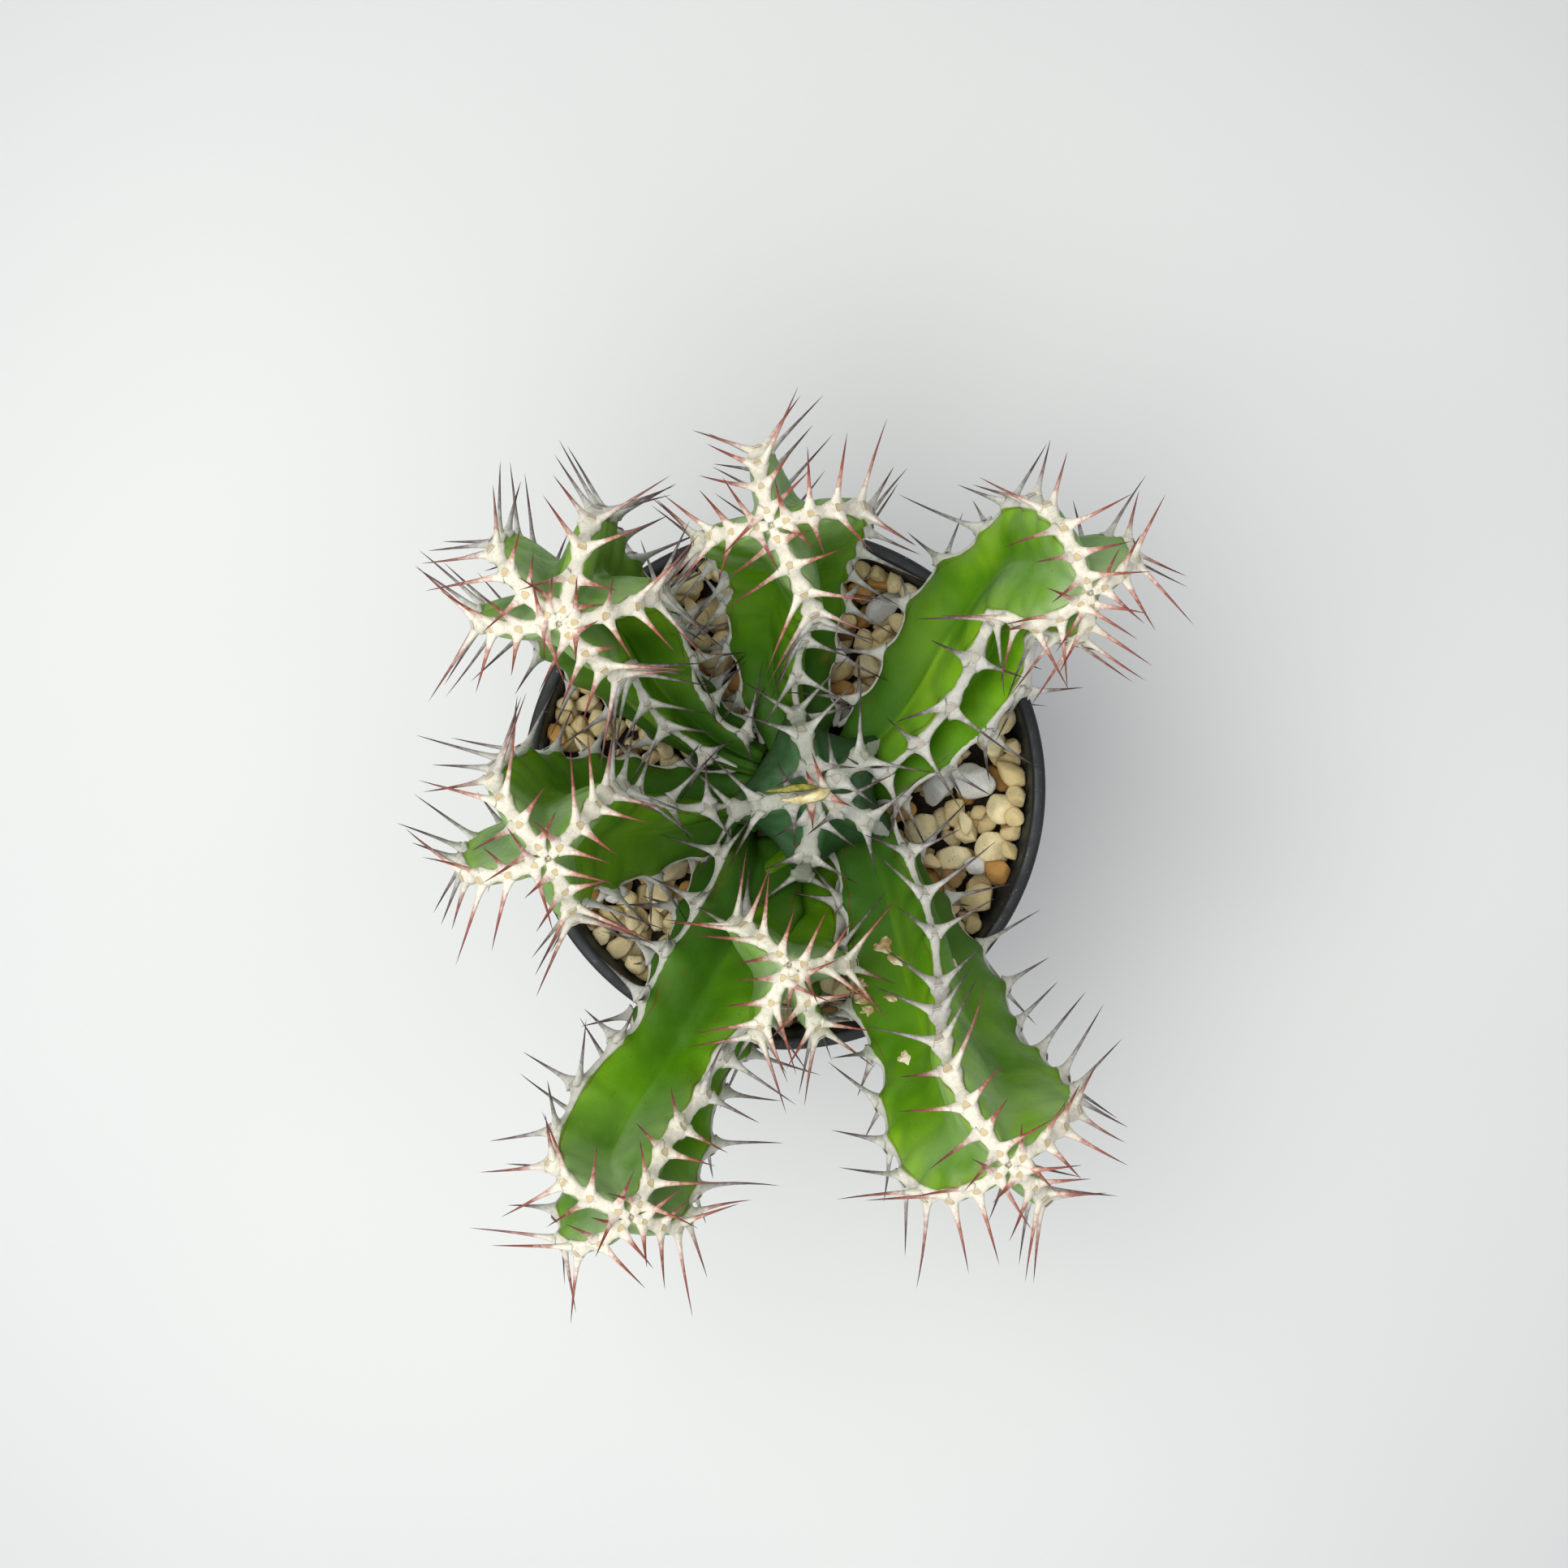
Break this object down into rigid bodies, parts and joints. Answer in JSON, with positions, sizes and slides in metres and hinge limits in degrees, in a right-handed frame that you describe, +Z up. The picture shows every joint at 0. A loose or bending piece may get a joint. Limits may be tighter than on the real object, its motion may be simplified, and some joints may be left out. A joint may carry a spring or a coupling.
{
  "type": "potted spiny succulent",
  "caption": "Potted ribbed succulent: short trunk with upcurved, winged arms edged in pale horny margins with paired spines, set in a round pot topped with pumice grit.",
  "frame": {"origin": "centre of the pot's flat underside", "axes": "+Z up along the pot's axis; +Y towards the arm that leans away behind the trunk; +X to the right seen from the front, with -Y the front"},
  "size_m": [0.1296, 0.1503, 0.1565],
  "materials": {
    "pot_plastic": "satin black injection-moulded plastic with faint scuffs and dust",
    "potting_mix": "dark, matt, crumbly mix",
    "pumice": "matt, porous, cream to tan stones",
    "trunk_skin": "blue-green waxy skin with chalky bloom",
    "arm_skin": "satin mid-green waxy skin, paler near the rib edges",
    "horn": "matt cream-white horn with red-brown spine tips",
    "horn_old": "matt weathered grey horn with dark specks"
  },
  "bodies": {
    "root": {"pot": "pot_plastic", "potting_mix": "potting_mix", "top_dressing": "pumice", "trunk": "trunk_skin", "arm_south": "arm_skin", "arm_north": "arm_skin", "arm_northeast": "arm_skin", "arm_northwest": "arm_skin", "arm_west": "arm_skin", "arm_southwest": "arm_skin", "arm_southeast": "arm_skin", "trunk_spines": "horn_old", "arm_south_spines": "horn", "arm_north_spines": "horn", "arm_northeast_spines": "horn", "arm_northwest_spines": "horn", "arm_west_spines": "horn", "arm_southwest_spines": "horn", "arm_southeast_spines": "horn"}
  },
  "joints": []
}
